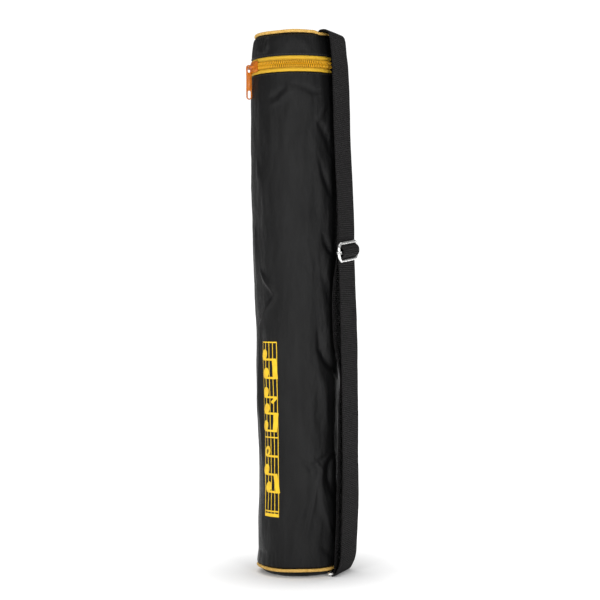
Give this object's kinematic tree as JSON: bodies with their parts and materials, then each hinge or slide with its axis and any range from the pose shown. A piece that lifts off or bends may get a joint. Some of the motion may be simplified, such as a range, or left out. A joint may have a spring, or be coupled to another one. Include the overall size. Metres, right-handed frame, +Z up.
{
  "type": "music stand",
  "caption": "Folding music stand packed in an upright zipped nylon carry bag with an adjustable shoulder strap.",
  "frame": {"origin": "on the bag's axis, on the flat middle of the base that it stands on", "axes": "+Z up along the bag's axis, +X towards the shoulder strap, +Y to the left seen from the strap's side"},
  "size_m": [0.1026, 0.0888, 0.5376],
  "materials": {
    "nylon": "satin black nylon taffeta, coated",
    "webbing": "matt ribbed black polypropylene webbing",
    "piping": "satin yellow bias binding over cord",
    "zip_tape": "yellow woven polyester zip tape",
    "zip_coil": "yellow nylon coil",
    "orange_metal": "orange painted zinc",
    "silver_wire": "nickel plated wire",
    "print": "yellow screen print",
    "board": "stiff black board",
    "black_tube": "black powder coated steel",
    "black_plastic": "moulded black nylon",
    "rubber": "matt black rubber",
    "steel": "zinc plated steel"
  },
  "bodies": {
    "bag": {"base_disc": "nylon", "base_board": "board", "base_piping": "piping", "body_panel": "nylon", "seam_binding": "webbing", "lower_zip_tape": "zip_tape", "lower_zip_coil": "zip_coil", "hinge_strip": "nylon", "strap_outer": "webbing", "strap_return": "webbing", "ring_tab": "webbing"},
    "lid": {"lid_wall": "nylon", "lid_disc": "nylon", "lid_piping": "piping", "upper_zip_tape": "zip_tape", "upper_zip_coil": "zip_coil", "strap_top_end": "webbing"},
    "slider": {"zip_slider": "orange_metal"},
    "tab": {"pull_tab": "orange_metal"},
    "buckle": {"buckle_frame": "silver_wire", "buckle_centre_bar": "silver_wire"},
    "ring": {"lower_ring": "silver_wire"},
    "stand": {"mast_lower_tube": "black_tube", "mast_middle_tube": "black_tube", "mast_upper_tube": "black_tube", "leg_hub": "black_plastic", "brace_hub": "black_plastic", "desk_hub": "black_plastic", "mast_foot_plug": "rubber", "leg_1": "black_tube", "leg_2": "black_tube", "leg_3": "black_tube", "foot_1": "rubber", "foot_2": "rubber", "foot_3": "rubber", "brace_1": "steel", "brace_2": "steel", "brace_3": "steel", "desk_spine": "black_tube", "desk_arm_1": "black_tube", "desk_arm_2": "black_tube", "desk_arm_3": "black_tube", "desk_arm_4": "black_tube", "desk_pivot_bolt": "steel", "desk_wing_nut": "black_plastic", "desk_ledge_left": "black_tube", "desk_ledge_right": "black_tube", "page_clip_left": "steel", "page_clip_right": "steel"},
    "lower_clutch_sleeve": {"lower_clutch": "black_plastic"},
    "upper_clutch_sleeve": {"upper_clutch": "black_plastic"}
  },
  "joints": [
    {"name": "lid_hinge", "type": "hinge", "parent": "bag", "child": "lid", "pos_m": [0.0475, 0, 0.5013], "axis": [0, 1, 0], "range_deg": [0, 110], "deforming": ["hinge_strip"]},
    {"name": "slider_travel", "type": "hinge", "parent": "bag", "child": "slider", "pos_m": [0, 0, 0.5013], "axis": [0, 0, 1], "range_deg": [-180, 95]},
    {"name": "tab_swing", "type": "hinge", "parent": "slider", "child": "tab", "pos_m": [-0.03662, -0.03072, 0.5013], "axis": [-0.6428, 0.766, 0], "range_deg": [0, 165]},
    {"name": "buckle_slide", "type": "slide", "parent": "bag", "child": "buckle", "axis": [-0.02, 0, 0.9998], "range_m": [-0.12, 0], "deforming": ["strap_outer", "strap_return"]},
    {"name": "ring_swing", "type": "hinge", "parent": "bag", "child": "ring", "pos_m": [0.0382, 0, 0.00275], "axis": [0, 1, 0], "range_deg": [-17, 0], "deforming": ["strap_outer", "strap_return"]},
    {"name": "stand_lift", "type": "slide", "parent": "bag", "child": "stand", "axis": [0, 0, 1], "range_m": [0, 0.04]},
    {"name": "lower_clutch_twist", "type": "hinge", "parent": "stand", "child": "lower_clutch_sleeve", "pos_m": [0, 0, 0.298], "axis": [0, 0, 1], "range_deg": [0, 90]},
    {"name": "upper_clutch_twist", "type": "hinge", "parent": "stand", "child": "upper_clutch_sleeve", "pos_m": [0, 0, 0.33], "axis": [0, 0, 1], "range_deg": [0, 90]}
  ]
}
